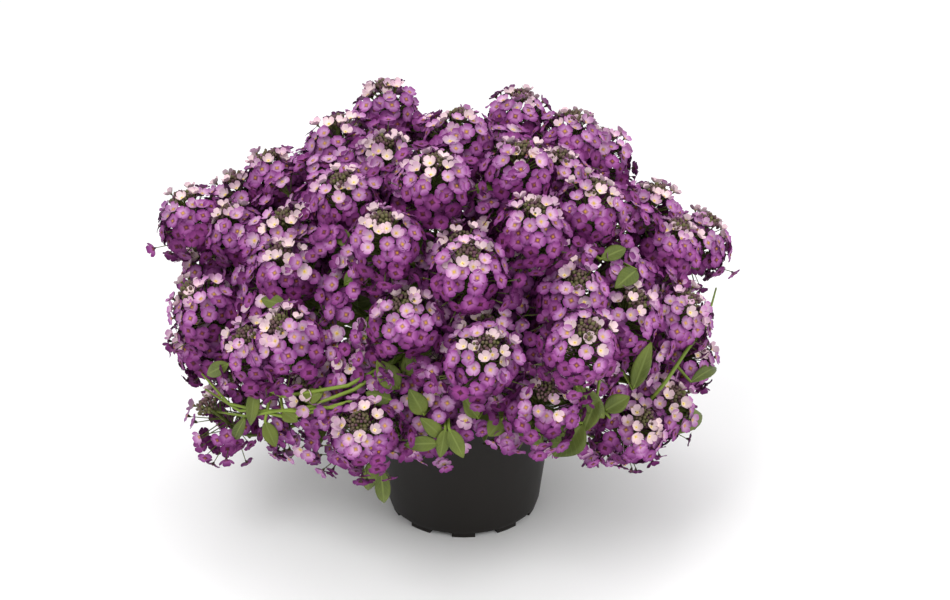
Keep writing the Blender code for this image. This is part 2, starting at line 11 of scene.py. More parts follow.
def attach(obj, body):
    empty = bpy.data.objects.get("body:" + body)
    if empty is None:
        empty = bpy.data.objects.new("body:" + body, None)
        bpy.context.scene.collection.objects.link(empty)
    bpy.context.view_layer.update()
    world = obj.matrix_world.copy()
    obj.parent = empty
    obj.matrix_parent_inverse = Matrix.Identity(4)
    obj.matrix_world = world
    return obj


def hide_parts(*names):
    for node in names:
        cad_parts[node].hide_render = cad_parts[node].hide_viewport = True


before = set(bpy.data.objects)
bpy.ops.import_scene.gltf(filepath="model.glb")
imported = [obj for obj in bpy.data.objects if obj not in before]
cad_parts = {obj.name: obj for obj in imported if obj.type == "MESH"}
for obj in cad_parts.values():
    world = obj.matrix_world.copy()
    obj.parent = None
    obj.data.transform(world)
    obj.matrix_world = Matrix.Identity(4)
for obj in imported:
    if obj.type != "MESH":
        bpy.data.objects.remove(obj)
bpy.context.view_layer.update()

MM = 0.001  # lengths below are in millimetres, unless they say otherwise
CLEAR = 0.3  # gap between neighbouring pieces
POT_HEIGHT = 92
POT_RIM_R = 55
SOIL_TOP = 81
SOIL_CROWN = 3
DRAPE_CLEAR = 12  # the lowest leaves and petals hang this far above the surface
STEM_CORE_R = 44  # the main stems stay within this, and below this height
STEM_CORE_TOP = 149
HEAD_R = 20.5
PAIR_SPACING = 25
CORE_SHARE = 0.62
ROW_TILT = {-1: math.radians(146), 0: math.radians(93), 1: math.radians(41)}
AXIS_LIFT = 1.3  # how far a head turns up from the dome, against one outwards
VIEW_ELEVATION = math.radians(27)
EYE_DISTANCE = 1200
AIM = np.array([6.4, 0.0, 129.0])
AIM_UP = 111.4
DOME_CENTRE = np.array([-10.0, 0.0, 116.0])
DOME_SIZE = np.array([148.0, 126.0, 122.0])
BACK_NODES = 12
BACK_PAIRS = 6
BACK_TRIES = 46  # places tried round the back, from the top down
BACK_TOP, BACK_FALL = 0.93, 1.28  # height of the first place and drop to the last, of the dome's half height
BACK_WANDER = 0.15
BACK_FROM_Y = 12
BACK_ROOM = 33  # least distance between the places of two heads
HEAD_DEPTH = (-4, 16)  # how far behind the dome a head's knot may lie
PAIR_REACH = 50  # heads round the back that are closer than this may share a node
HEAD_SIZES = (0.95, 1.03)
KNOT_SHARE = 0.8  # how far out the knot lies from a head's middle, of the head's radius
SPREAD_ROUNDS, SPREAD_STEP, RETURN_STEP = 400, 0.3, 0.02
POT_ROOM = 2
PUSH_STEP = 0.3  # share of the missing room that a head moves out in each round
POT_LIFT, CORE_LIFT = 0.5, 0.3  # how far it rises meanwhile, near the pot or near the main stems
VIEW_SCALE = 1.805  # pixels a millimetre at the pot's axis
VIEW_WIDTH = 950

# Where each head's knot of buds shows from the front: across and up from the middle of the pot's foot.
SINGLE_HEADS = (
    (-70, 209), (-67, 178), (-146, 140), (-44, 229), (-18, 178), (-41, 158), (-2, 213), (32, 224),
    (32, 193), (19, 174), (37, 161), (53, 190), (72, 174), (136, 155), (-143, 56), (-29, 113),
    (-9, 71), (35, 125), (60, 121), (69, 97), (97, 112), (123, 112), (130, 87), (45, 63), (-58, 44),
)
PAIRED_HEADS = (
    ((-154, 165), (-134, 160)), ((-127, 178), (-107, 191)), ((-100, 157), (-102, 138)),
    ((-43, 196), (-31, 188)), ((61, 211), (78, 203)), ((109, 170), (119, 152)),
    ((-151, 116), (-151, 93)), ((-121, 90), (-96, 94)), ((-86, 68), (-66, 80)),
    ((11, 98), (14, 85)), ((-4, 150), (2, 132)), ((40, 90), (52, 86)), ((100, 46), (118, 58)),
)

FLORETS_A_HEAD = 80
STRAYS_A_HEAD = 16  # spent florets hanging loose below a head
STRAY_TILT = (math.radians(88), math.radians(150))
STRAY_REACH, STRAY_WANDER, STRAY_SIZE = (0.98, 1.3), 0.5, 0.95
STRAY_CUPS, STRAY_AGES = (1, -1, -2), (0.6, 1.0)
FLORET_R = 4.2
FLORET_SIZES = (0.92, 1.06)
YOUNG_SIZE, SIZE_GAIN = 0.74, 0.26
FLORET_REACH = (0.78, 1.04)  # how far out florets stand, of a head's radius
SKIRT_FLARE = 0.3  # and how much further low down
FLORET_FALL = 1.12  # above 1, florets crowd towards the buds
SKIRT_SHARE = 0.85  # a thinned head keeps every floret past this share of the way down
TILT_WANDER, TURN_WANDER = 0.10, 0.22
FACE_UP, FACE_WANDER = 0.15, 0.3
MATURITY = (0.75, 1.45)  # how fast the florets of a head age on the way down
AGE_PACE, AGE_START, AGE_WANDER = 1.5, 0.07, 0.17
CUP_PACE = 1.8  # how soon an ageing floret flattens
STALK_THICK, STALK_THIN = 0.42, 0.26
STALK_SINK = 0.3  # how far behind a floret's middle its stalk ends, of the floret's radius
LOBE = 0.26  # how far a head draws in between its three loose lobes
BUDS_A_HEAD = 36
BUD_SHAPE, BUD_SIZES = (0.8, 0.8, 1.15), (1.0, 1.55)
BUD_REACH, KNOT_FALL = (0.90, 1.0), 0.1
PETAL_INNER = ((0.0, (0.72, 0.60, 0.58)), (0.10, (0.60, 0.42, 0.54)), (0.26, (0.47, 0.24, 0.45)),
               (0.55, (0.33, 0.105, 0.305)), (1.0, (0.22, 0.040, 0.185)))
PETAL_EDGE = ((0.0, (0.66, 0.50, 0.54)), (0.10, (0.44, 0.20, 0.40)), (0.26, (0.27, 0.07, 0.255)),
              (0.55, (0.19, 0.032, 0.175)), (1.0, (0.135, 0.018, 0.115)))
THROAT_COLOURS = ((0.0, (0.80, 0.66, 0.36)), (0.2, (0.40, 0.18, 0.16)), (0.5, (0.14, 0.02, 0.05)),
                  (1.0, (0.06, 0.008, 0.03)))
EYE_COLOURS = ((0.0, (0.60, 0.42, 0.03)), (0.35, (0.46, 0.25, 0.03)), (0.7, (0.22, 0.07, 0.02)),
               (1.0, (0.08, 0.015, 0.015)))
BUD_SPREAD = math.radians(20)
FLORET_TILT = (math.radians(18), math.radians(128))
GOLDEN = math.pi * (3 - math.sqrt(5))
# A petal's reach and half width from row to row, and the other sizes of a floret with a radius of 1.
PETAL_ROWS = ((0.10, 0.14), (0.40, 0.46), (0.74, 0.62), (0.98, 0.40))
TIP_BULGE, TIP_DIP, SIDE_RISE = 0.09, 0.06, 0.16
MIDDLE_R, MIDDLE_EDGE_UP, MIDDLE_UP = 0.28, 0.05, 0.2
CALYX_BOTTOM_R, CALYX_TOP_R, CALYX_DEPTH, CALYX_DOWN = 0.10, 0.26, 0.4, 0.19
PETAL_CUPS = (0.85, 0.5, 0.25, 0.08, -0.06)  # how far a petal's tip stands up, from the youngest floret
CALYX_MARK, BUD_MARK = 1.5, 2.5  # beyond any petal, so that one map tells the parts of a floret apart
THIN_HEADS = {15: 0.35}  # nodes past their best in the photo, with the share of florets that they keep
INNER_LEAVES = 520
INNER_REACH, INNER_HALF_WIDE, INNER_BEND = (15, 25), (3.2, 4.6), (0.03, 0.1)
INNER_WANDER = 60
INNER_DOME = 0.85  # a small leaf's tip stays within this share of the dome, squared
HEAD_MIDDLE = 0.6  # and out of the middle of every head, of its radius
BLADE_GRID, SMALL_BLADE_GRID = (6, 9), (2, 4)
BLADE_FOLD, BLADE_THICK, BLADE_BEND = 0.22, 0.5, (0.04, 0.12)
SPRAY_TRIES = 420
SPRAY_ROOM = (-2.0, 16.0)  # from a spray's middle to the nearest head, past which no spray grows
SPRAY_REACH = 45  # the longest shoot of a spray
SPRAY_FLORETS = 9
SPRAY_PIECES = 12
SPRAY_FALL = 1.45  # drop from the highest spray to the lowest, of the dome's half height
SPRAY_DEPTH = (0.82, 0.93)  # how far out the middle of a spray lies, of the dome
SPRAY_HEART = 6  # its florets' stalks meet this far below its middle
SPRAY_SPAN, SPRAY_LEAN = (7, 13), 0.9
SPRAY_SIZES, SPRAY_AGES = (0.85, 1.0), (0.05, 0.95)
SPRAY_POT_ROOM = 12
SHOOT_SWELL = 0.22  # makes up for what rounding takes off the shoots
MERGE_WITHIN = 1e-6  # in metres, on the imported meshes
CRUMBS = 320
CRUMB_RING = 48
CRUMB_SIZES = ((0.8, 2.6), (0.8, 1.8), (0.6, 1.4))
CRUMB_SINK, CRUMB_FALL = 1.2, 3.4
POT_EDGE = 0.25

# Leaves that show in the photo: root and tip across and up from the pot's foot, half width,
# and how far behind the dome.
SEEN_LEAVES = (
    ((66, 43), (50, 25), 9.5, 6), ((108, 38), (132, 48), 7, 5), ((-51, 22), (-53, 6), 4, 2),
    ((-46, 19), (-44, -1), 4, 4), ((-14, 32), (-33, 31), 4, 6), ((-12, 36), (-24, 46), 4, 10),
    ((-8, 40), (0, 24), 4, 6), ((-10, 40), (-13, 24), 3.5, 8), ((-115, 65), (-118, 42), 3.5, 8),
    ((-121, 46), (-127, 34), 3, 6), ((-110, 44), (-104, 30), 4, 6), ((-100, 50), (-92, 44), 4, 10),
    ((30, 44), (44, 32), 6, 10), ((22, 46), (14, 36), 5, 12), ((-36, 62), (-48, 78), 6, 16),
    ((-34, 70), (-20, 84), 5, 18), ((-40, 56), (-54, 60), 5, 14), ((78, 50), (92, 58), 5, 12),
    ((94, 62), (104, 88), 4.5, 6), ((74, 58), (66, 38), 5.5, 8), ((62, 64), (78, 46), 5, 10),
    ((48, 50), (40, 36), 6, 12), ((60, 150), (72, 158), 4, 14), ((-66, 120), (-54, 130), 4, 14),
    ((126, 66), (140, 74), 3.5, 6), ((-130, 76), (-142, 70), 4, 6), ((8, 46), (0, 58), 4, 12),
    ((-22, 48), (-30, 62), 5, 12), ((-78, 60), (-90, 56), 4, 12), ((38, 58), (28, 68), 4, 16),
    ((-62, 140), (-72, 152), 4, 14), ((4, 168), (16, 176), 4, 14), ((-56, 96), (-44, 92), 5, 14),
    ((76, 134), (90, 140), 4, 12), ((96, 128), (84, 118), 5, 12), ((-98, 108), (-112, 112), 4, 12),
)

# Bare arching shoots, four at the lower left of the photo and one at the right: points across and up
# from the pot's foot.
SEEN_SHOOTS = (
    ((-60, 62), (-92, 50), (-124, 50), (-143, 62)), ((-60, 56), (-96, 46), (-130, 54), (-148, 74)),
    ((-64, 64), (-100, 58), (-118, 66), (-128, 82)), ((-70, 52), (-104, 50), (-120, 47), (-140, 50)),
    ((112, 66), (124, 84), (134, 96), (140, 118)),
)
SHOOT_DEPTH = 10

STEM_GREENS = ((0.13, 0.19, 0.028), (0.22, 0.30, 0.045))
STALK_GREENS = ((0.070, 0.090, 0.020), (0.13, 0.16, 0.034))
SHOOT_GREENS = ((0.075, 0.110, 0.018), (0.15, 0.20, 0.034))
LEAF_GREENS = ((0.070, 0.095, 0.018), (0.14, 0.175, 0.032))
LEAF_RIB = (0.15, 0.19, 0.045)
CALYX_COLOURS = ((0.085, 0.095, 0.025), (0.045, 0.012, 0.035))
BUD_COLOURS = ((0.120, 0.120, 0.042), (0.120, 0.050, 0.080))
PLASTIC_COLOURS = ((0.009, 0.0075, 0.0065), (0.014, 0.012, 0.0105))
COMPOST_COLOURS = ((0.30, (0.010, 0.006, 0.004)), (0.55, (0.045, 0.028, 0.017)), (0.72, (0.14, 0.085, 0.045)))

FLOOR_HALF = 6000
STUDIO_LIGHT = 0.92
LAMPS = (  # name, place, size and power
    ("key", (-500, -900, 1300), 600, 10), ("fill", (900, -700, 700), 800, 5), ("top", (0, 300, 1500), 900, 4),
)
LAMPS_AIM = (0, 0, 130)
SENSOR_WIDTH = 36


def unit(vector):
    return vector / np.linalg.norm(vector)


def view_forward():
    return np.array([0, math.cos(VIEW_ELEVATION), -math.sin(VIEW_ELEVATION)])


def view_ray(across, up):
    """Eye point and direction of the line of sight through a spot seen from the front."""
    forward = view_forward()
    up_axis = np.array([0, math.sin(VIEW_ELEVATION), math.cos(VIEW_ELEVATION)])
    spot = AIM + np.array([across - AIM[0], 0, 0]) + up_axis * (up - AIM_UP)
    eye = AIM - forward * EYE_DISTANCE
    return eye, unit(spot - eye)


def on_dome(across, up):
    """The point of the plant's dome seen there, or the nearest one to it past the dome's edge."""
    eye, ray = view_ray(across, up)
    start = (eye - DOME_CENTRE) / DOME_SIZE
    step = ray / DOME_SIZE
    a, b, c = step @ step, start @ step, start @ start - 1
    root = b * b - a * c
    return eye + ray * (-b - math.sqrt(max(root, 0))) / a, ray


def head_axis(point):
    """The way a head at that point of the dome faces: outwards and up."""
    outward = unit((point - DOME_CENTRE) / DOME_SIZE**2)
    return unit(outward + np.array([0, 0, AXIS_LIFT]))


def on_ball(height, angle):
    """A point of a ball of radius 1."""
    reach = math.sqrt(1 - height * height)
    return np.array([reach * math.cos(angle), reach * math.sin(angle), height])


def back_heads(rng, front):
    """Heads round the back, spread by the golden angle and kept off those already placed."""
    spots = []
    wanted = BACK_NODES + BACK_PAIRS
    placed = [point for point, _ in front]
    index = 0
    while len(spots) < wanted:
        height = BACK_TOP - BACK_FALL * (index + 0.5) / BACK_TRIES
        angle = index * GOLDEN + rng.uniform(-BACK_WANDER, BACK_WANDER)
        point = DOME_CENTRE + DOME_SIZE * on_ball(height, angle)
        index += 1
        if index > BACK_TRIES:
            break
        if point[1] < BACK_FROM_Y or min(np.linalg.norm(point - other) for other in placed) < BACK_ROOM:
            continue
        spots.append(point)
        placed.append(point)
    return spots


def lay_out_heads():
    """One entry for each flower node: the centres, axes and radii of its one or two heads."""
    rng = random.Random(7)
    groups = [[spot] for spot in SINGLE_HEADS] + [list(pair) for pair in PAIRED_HEADS]
    points, rays, node_of = [], [], []
    for node, spots in enumerate(groups):
        for across, up in spots:
            point, ray = on_dome(across, up)
            points.append(point + ray * rng.uniform(*HEAD_DEPTH))
            rays.append(ray)
            node_of.append(node)
    back = back_heads(rng, list(zip(points, rays)))
    loose = list(range(len(back)))
    node = len(groups)
    while loose:
        first = loose.pop(0)
        members = [first]
        near = sorted(loose, key=lambda other: np.linalg.norm(back[other] - back[first]))
        pairs_left = node - len(groups) < BACK_PAIRS
        if near and pairs_left and np.linalg.norm(back[near[0]] - back[first]) < PAIR_REACH:
            members.append(near[0])
            loose.remove(near[0])
        for member in members:
            points.append(back[member])
            rays.append(unit(back[member] - DOME_CENTRE))
            node_of.append(node)
        node += 1
    axes = np.array([head_axis(point) for point in points])
    sizes = np.array([HEAD_R * rng.uniform(*HEAD_SIZES) for _ in points])
    centres = np.array(points) - axes * sizes[:, None] * KNOT_SHARE
    centres = spread(centres, sizes, np.array(rays), np.array(node_of))
    return centres, axes, sizes, node_of


def spread(centres, sizes, rays, node_of):
    """Moves heads apart, mostly along the line of sight, and holds the two of a pair at their spacing."""
    wanted = centres.copy()
    touching = sizes[:, None] + sizes[None, :] + 2 * CLEAR
    paired = node_of[:, None] == node_of[None, :]
    for _ in range(SPREAD_ROUNDS):
        between = centres[None, :, :] - centres[:, None, :]
        distance = np.linalg.norm(between, axis=2) + np.eye(len(centres))
        missing = np.where(paired, PAIR_SPACING - distance, np.maximum(touching - distance, 0))
        np.fill_diagonal(missing, 0)
        centres = centres - SPREAD_STEP * np.einsum("ijk,ij->ik", between, missing / distance)
        away = centres - wanted
        sideways = away - rays * np.einsum("ij,ij->i", away, rays)[:, None]
        centres = centres - RETURN_STEP * sideways
        centres = clear_of_pot(centres, sizes)
    return centres


def clear_of_pot(centres, sizes):
    """Moves a head that is too near the surface, the pot or the main stems a little up and out."""
    for centre, size in zip(centres, sizes):
        centre[2] = max(centre[2], size + DRAPE_CLEAR)
        reach = math.hypot(centre[0], centre[1])
        needed = POT_RIM_R + size + POT_ROOM
        if centre[2] < POT_HEIGHT + size + POT_ROOM and reach < needed:
            centre[:2] *= 1 + PUSH_STEP * (needed / reach - 1)
            centre[2] += POT_LIFT
        elif centre[2] < STEM_CORE_TOP + size and reach < STEM_CORE_R + size:
            centre[:2] *= 1 + PUSH_STEP * ((STEM_CORE_R + size) / reach - 1)
            centre[2] += CORE_LIFT
    return centres


def frame_along(axis, spin):
    """Three unit axes with the third along the axis, turned about it by the spin."""
    side = unit(np.cross(axis, [0.31, 0.94, 0.12]))
    lift = np.cross(axis, side)
    turned_side = side * math.cos(spin) + lift * math.sin(spin)
    return turned_side, np.cross(axis, turned_side), axis


def metres(point):
    return Vector(point) * MM


def link(obj):
    bpy.context.scene.collection.objects.link(obj)
    return obj


def wander(rng, most):
    """A small random vector that puts things out of line."""
    return np.array([rng.uniform(-most, most) for _ in range(3)])


def finish_piece(name, bm, finish, smooth=True):
    """A bmesh in millimetres becomes a piece that rides with the plant."""
    mesh = shape_of(bm, name)
    mesh.transform(Matrix.Scale(MM, 4))
    mesh.materials.append(finish)
    piece = link(bpy.data.objects.new(name, mesh))
    if smooth:
        mesh.shade_smooth()
    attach(piece, "root")
    return piece


def along_axis(axis, centre, spin, scale):
    """The transform that stands a shape on a centre with its own Z along an axis."""
    turn = Vector(axis).to_track_quat("Z", "Y").to_matrix().to_4x4()
    return Matrix.Translation(centre) @ turn @ Matrix.Rotation(spin, 4, "Z") @ Matrix.Scale(scale, 4)


def mark(bm, verts, across, out):
    """Writes where on the floret each corner lies, across its petal and out, which its colours follow."""
    layer = bm.loops.layers.uv["bloom"]
    for vert in verts:
        for loop in vert.link_loops:
            loop[layer].uv = (across(vert), out(vert))


def floret_shape(cup):
    """A four-petalled floret of radius 1 facing +Z: four broad petals, a small middle and a calyx."""
    bm = bmesh.new()
    bm.loops.layers.uv.new("bloom")
    for quarter in range(4):
        petal = bmesh.ops.create_grid(bm, x_segments=3, y_segments=3, size=1)["verts"]
        for vert in petal:
            row = round((vert.co.y + 1) * 1.5)
            reach, wide = PETAL_ROWS[row]
            side, at_tip = vert.co.x, row == 3
            reach += TIP_BULGE * (1 - abs(side)) * at_tip
            height = cup * reach * reach + SIDE_RISE * abs(side) * reach - TIP_DIP * at_tip
            vert.co = (side * wide, reach, height)
        mark(bm, petal, lambda vert: 0.5 + vert.co.x, lambda vert: vert.co.y)
        bmesh.ops.rotate(bm, verts=petal, matrix=Matrix.Rotation(quarter * math.pi / 2, 3, "Z"))
    middle = bmesh.ops.create_circle(bm, cap_ends=True, cap_tris=True, segments=6, radius=MIDDLE_R)["verts"]
    for vert in middle:
        vert.co.z = MIDDLE_EDGE_UP if vert.co.xy.length > 0.1 else MIDDLE_UP
    mark(bm, middle, lambda vert: 0.5, lambda vert: vert.co.xy.length)
    place = Matrix.Translation((0, 0, -CALYX_DOWN))
    calyx = bmesh.ops.create_cone(bm, segments=4, radius1=CALYX_BOTTOM_R, radius2=CALYX_TOP_R,
                                  depth=CALYX_DEPTH, matrix=place)["verts"]
    mark(bm, calyx, lambda vert: 0.5, lambda vert: CALYX_MARK)
    return shape_of(bm, "floret")


def shape_of(bm, name):
    mesh = bpy.data.meshes.new(name)
    bm.to_mesh(mesh)
    bm.free()
    return mesh


def bud_shape():
    bm = bmesh.new()
    bm.loops.layers.uv.new("bloom")
    bud = bmesh.ops.create_icosphere(bm, subdivisions=1, radius=1)["verts"]
    bmesh.ops.scale(bm, verts=bud, vec=BUD_SHAPE)
    mark(bm, bud, lambda vert: 0.5, lambda vert: BUD_MARK)
    return shape_of(bm, "bud")


def place_shape(bm, shape, transform, age):
    """Adds a copy of a small shape, with the age that its colour follows."""
    first = len(bm.verts)
    bm.from_mesh(shape)
    bm.verts.ensure_lookup_table()
    added = bm.verts[first:]
    bmesh.ops.transform(bm, matrix=transform, verts=added)
    layer = bm.verts.layers.float["age"]
    for vert in added:
        vert[layer] = age


def tube(bm, path, radii, sides):
    """A closed round stalk through a few points."""
    rings = []
    for k, point in enumerate(path):
        ahead, behind = path[min(k + 1, len(path) - 1)], path[max(k - 1, 0)]
        place = along_axis(unit(np.array(ahead) - behind), point, 0, radii[k])
        ring = bmesh.ops.create_circle(bm, segments=sides, radius=1, matrix=place)["verts"]
        rings.append(ring)
    for low, high in zip(rings, rings[1:]):
        edges = [edge for edge in {e for v in low + high for e in v.link_edges}
                 if all(v in low for v in edge.verts) or all(v in high for v in edge.verts)]
        bmesh.ops.bridge_loops(bm, edges=edges)
    for ring in (rings[0], rings[-1]):
        bmesh.ops.contextual_create(bm, geom=ring)


def cone_stalk(bm, root, tip, thick, thin):
    """A three-sided tapering stalk from one point to another."""
    root, tip = Vector(root), Vector(tip)
    reach = tip - root
    place = along_axis(reach.normalized(), (root + tip) / 2, 0, 1)
    bmesh.ops.create_cone(bm, segments=3, radius1=thick, radius2=thin, depth=reach.length, matrix=place)


def floret_stalk(bm, root, spot, facing, radius):
    cone_stalk(bm, root, spot - facing * radius * STALK_SINK, STALK_THICK, STALK_THIN)


def new_floret_mesh():
    bm = bmesh.new()
    bm.loops.layers.uv.new("bloom")
    bm.verts.layers.float.new("age")
    return bm


def dress_head(florets, stalks, shapes, bud, centre, axis, size, kept, rng):
    """One domed head: florets opening from the buds down, each on its own thin stalk from the middle one."""
    side, lift, up = frame_along(axis, rng.uniform(0, math.tau))
    maturity = rng.uniform(*MATURITY)
    lobing = rng.uniform(0, math.tau)
    youngest, oldest = FLORET_TILT
    for k in range(FLORETS_A_HEAD):
        share = (k + 0.5) / FLORETS_A_HEAD
        if rng.random() > kept and share < SKIRT_SHARE:
            continue
        level = math.cos(youngest) + (math.cos(oldest) - math.cos(youngest)) * share**FLORET_FALL
        tilt = math.acos(level) + rng.uniform(-TILT_WANDER, TILT_WANDER)
        turn = k * GOLDEN + rng.uniform(-TURN_WANDER, TURN_WANDER)
        out = outwards(side, lift, up, tilt, turn)
        lobe = 1 - LOBE * share * (0.5 + 0.5 * math.sin(3 * turn + lobing))
        reach = size * lobe * rng.uniform(*FLORET_REACH)
        reach = reach * (1 + SKIRT_FLARE * max(0, share - 0.5) * rng.random())
        spot = centre + out * reach
        facing = unit(out + up * FACE_UP + wander(rng, FACE_WANDER))
        age = (share * AGE_PACE - AGE_START) * maturity + rng.uniform(-AGE_WANDER, AGE_WANDER)
        age = min(1.0, max(0.0, age))
        radius = FLORET_R * (YOUNG_SIZE + SIZE_GAIN * min(1, age * 3)) * rng.uniform(*FLORET_SIZES)
        shape = shapes[min(len(shapes) - 1, int(age * CUP_PACE * len(shapes)))]
        place_shape(florets, shape, along_axis(facing, spot, rng.uniform(0, math.tau), radius), age)
        root = centre + up * size * (0.62 * level - 0.32)
        floret_stalk(stalks, root, spot, facing, radius)
    for k in range(STRAYS_A_HEAD):
        out = outwards(side, lift, up, rng.uniform(*STRAY_TILT), k * GOLDEN + rng.uniform(-0.3, 0.3))
        spot = centre + out * size * rng.uniform(*STRAY_REACH)
        facing = unit(out + wander(rng, STRAY_WANDER))
        shape = shapes[rng.choice(STRAY_CUPS)]
        place = along_axis(facing, spot, rng.random(), FLORET_R * STRAY_SIZE)
        place_shape(florets, shape, place, rng.uniform(*STRAY_AGES))
        floret_stalk(stalks, centre - up * size * 0.4, spot, facing, FLORET_R)
    for k in range(BUDS_A_HEAD):
        tilt = BUD_SPREAD * math.sqrt((k + 0.5) / BUDS_A_HEAD)
        out = outwards(side, lift, up, tilt, k * GOLDEN)
        spot = centre + out * size * (rng.uniform(*BUD_REACH) - KNOT_FALL * (tilt / BUD_SPREAD) ** 2)
        place_shape(florets, bud, along_axis(out, spot, 0, rng.uniform(*BUD_SIZES)), rng.random())
        if k % 3 == 0:
            cone_stalk(stalks, centre + up * size * 0.6, spot, 0.4, 0.3)
    seat = centre + axis * (CORE_SHARE * size * math.cos(ROW_TILT[-1]) - 0.5)
    tube(stalks, [seat, centre, centre + up * size * 0.85], [1.0, 0.9, 0.7], 6)


def outwards(side, lift, up, tilt, turn):
    """The direction that leans from a head's axis by a tilt, turned about it."""
    flat = side * math.cos(turn) + lift * math.sin(turn)
    return flat * math.sin(tilt) + up * math.cos(tilt)


def dress_heads(heads, petals, green):
    """Every flower node's florets, which replace it, and the stalks that carry them."""
    centres, axes, sizes, node_of = heads
    rng = random.Random(41)
    shapes = [floret_shape(cup) for cup in PETAL_CUPS]
    bud = bud_shape()
    for node in range(max(node_of) + 1):
        members = [i for i, owner in enumerate(node_of) if owner == node]
        name = f"head_{node + 1:02d}" if len(members) == 1 else f"heads_{node + 1:02d}"
        florets, stalks = new_floret_mesh(), bmesh.new()
        for i in members:
            kept = THIN_HEADS.get(node + 1, 1)
            dress_head(florets, stalks, shapes, bud, centres[i], axes[i], sizes[i], kept, rng)
        piece = finish_piece(name + "_florets", florets, petals)
        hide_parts(name)
        finish_piece(name + "_stalks", stalks, green)


def add_side_sprays(petals, green, heads):
    """Small sprays of florets that fill the gaps between heads, each on a shoot from the nearest stem."""
    centres, _, sizes, _ = heads
    rng = random.Random(29)
    shoots = stem_points()
    shapes = [floret_shape(cup) for cup in PETAL_CUPS[1:]]
    florets_of = [new_floret_mesh() for _ in range(SPRAY_PIECES)]
    stalks_of = [bmesh.new() for _ in range(SPRAY_PIECES)]
    for k in range(SPRAY_TRIES):
        florets, stalks = florets_of[k % SPRAY_PIECES], stalks_of[k % SPRAY_PIECES]
        direction = on_ball(1 - SPRAY_FALL * (k + 0.5) / SPRAY_TRIES, k * GOLDEN)
        middle = DOME_CENTRE + DOME_SIZE * direction * rng.uniform(*SPRAY_DEPTH)
        room = (np.linalg.norm(centres - middle, axis=1) - sizes).min()
        outward = unit(direction / DOME_SIZE)
        heart = middle - outward * SPRAY_HEART
        start = nearest_shoot(heart, shoots)
        if not SPRAY_ROOM[0] < room < SPRAY_ROOM[1] or np.linalg.norm(start - heart) > SPRAY_REACH:
            continue
        if middle[2] < POT_HEIGHT and math.hypot(middle[0], middle[1]) < POT_RIM_R + SPRAY_POT_ROOM:
            continue
        tube(stalks, [start, (start + heart) / 2 + outward * 2, heart], [0.9, 0.8, 0.6], 5)
        for _ in range(SPRAY_FLORETS):
            lean = unit(outward + wander(rng, SPRAY_LEAN))
            spot = heart + lean * rng.uniform(*SPRAY_SPAN)
            facing = unit(lean + outward * 0.6)
            radius = FLORET_R * rng.uniform(*SPRAY_SIZES)
            shape = rng.choice(shapes)
            place = along_axis(facing, spot, rng.random(), radius)
            place_shape(florets, shape, place, rng.uniform(*SPRAY_AGES))
            floret_stalk(stalks, heart, spot, facing, radius)
    for index, (florets, stalks) in enumerate(zip(florets_of, stalks_of), start=1):
        finish_piece(f"side_sprays_{index:02d}", florets, petals)
        finish_piece(f"spray_stalks_{index:02d}", stalks, green)


def dress_stems(green):
    """Each leafy stem's square shoots and plain blades rounded off."""
    for name, node in sorted(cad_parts.items()):
        if not name.startswith("leafy_stem"):
            continue
        bm = bmesh.new()
        bm.from_mesh(node.data)
        bmesh.ops.remove_doubles(bm, verts=bm.verts, dist=MERGE_WITHIN)
        bmesh.ops.join_triangles(bm, faces=bm.faces, angle_face_threshold=0.9, angle_shape_threshold=0.9)
        bmesh.ops.recalc_face_normals(bm, faces=bm.faces)
        for vert in bm.verts:
            vert.co = vert.co / MM
        bm.normal_update()
        for vert in bm.verts:
            vert.co += vert.normal * SHOOT_SWELL
        piece = finish_piece(name + "_shoots", bm, green)
        rounding = piece.modifiers.new("rounding", "SUBSURF")
        rounding.levels = 2
        rounding.render_levels = 2
        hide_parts(name)


def leaf_blade(bm, root, tip, half_wide, up, bend, grid=BLADE_GRID):
    """A broad blade, folded a little along its middle rib and arched down towards the tip."""
    made = bmesh.ops.create_grid(bm, x_segments=grid[0], y_segments=grid[1], size=1)["verts"]
    root, tip = np.array(root, float), np.array(tip, float)
    length = np.linalg.norm(tip - root)
    along = (tip - root) / length
    side = unit(np.cross(along, up))
    normal = np.cross(side, along)
    layer = bm.loops.layers.uv["blade"]
    for vert in made:
        across, share = vert.co.x, (vert.co.y + 1) / 2
        for loop in vert.link_loops:
            loop[layer].uv = (across * 0.5 + 0.5, share)
        wide = half_wide * max(0.05, math.sin(math.pi * share**0.85)) ** 0.8
        rise = bend * length * math.sin(math.pi * share) + BLADE_FOLD * wide * abs(across)
        place = root + along * length * share + side * across * wide + normal * rise
        vert.co = Vector(place)


def nearest_shoot(point, shoots):
    return shoots[np.argmin(np.linalg.norm(shoots - point, axis=1))]


def stem_points():
    """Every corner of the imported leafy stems, in millimetres."""
    return np.array([tuple(vert.co / MM) for name, node in sorted(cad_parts.items())
                     if name.startswith("leafy_stem") for vert in node.data.vertices])


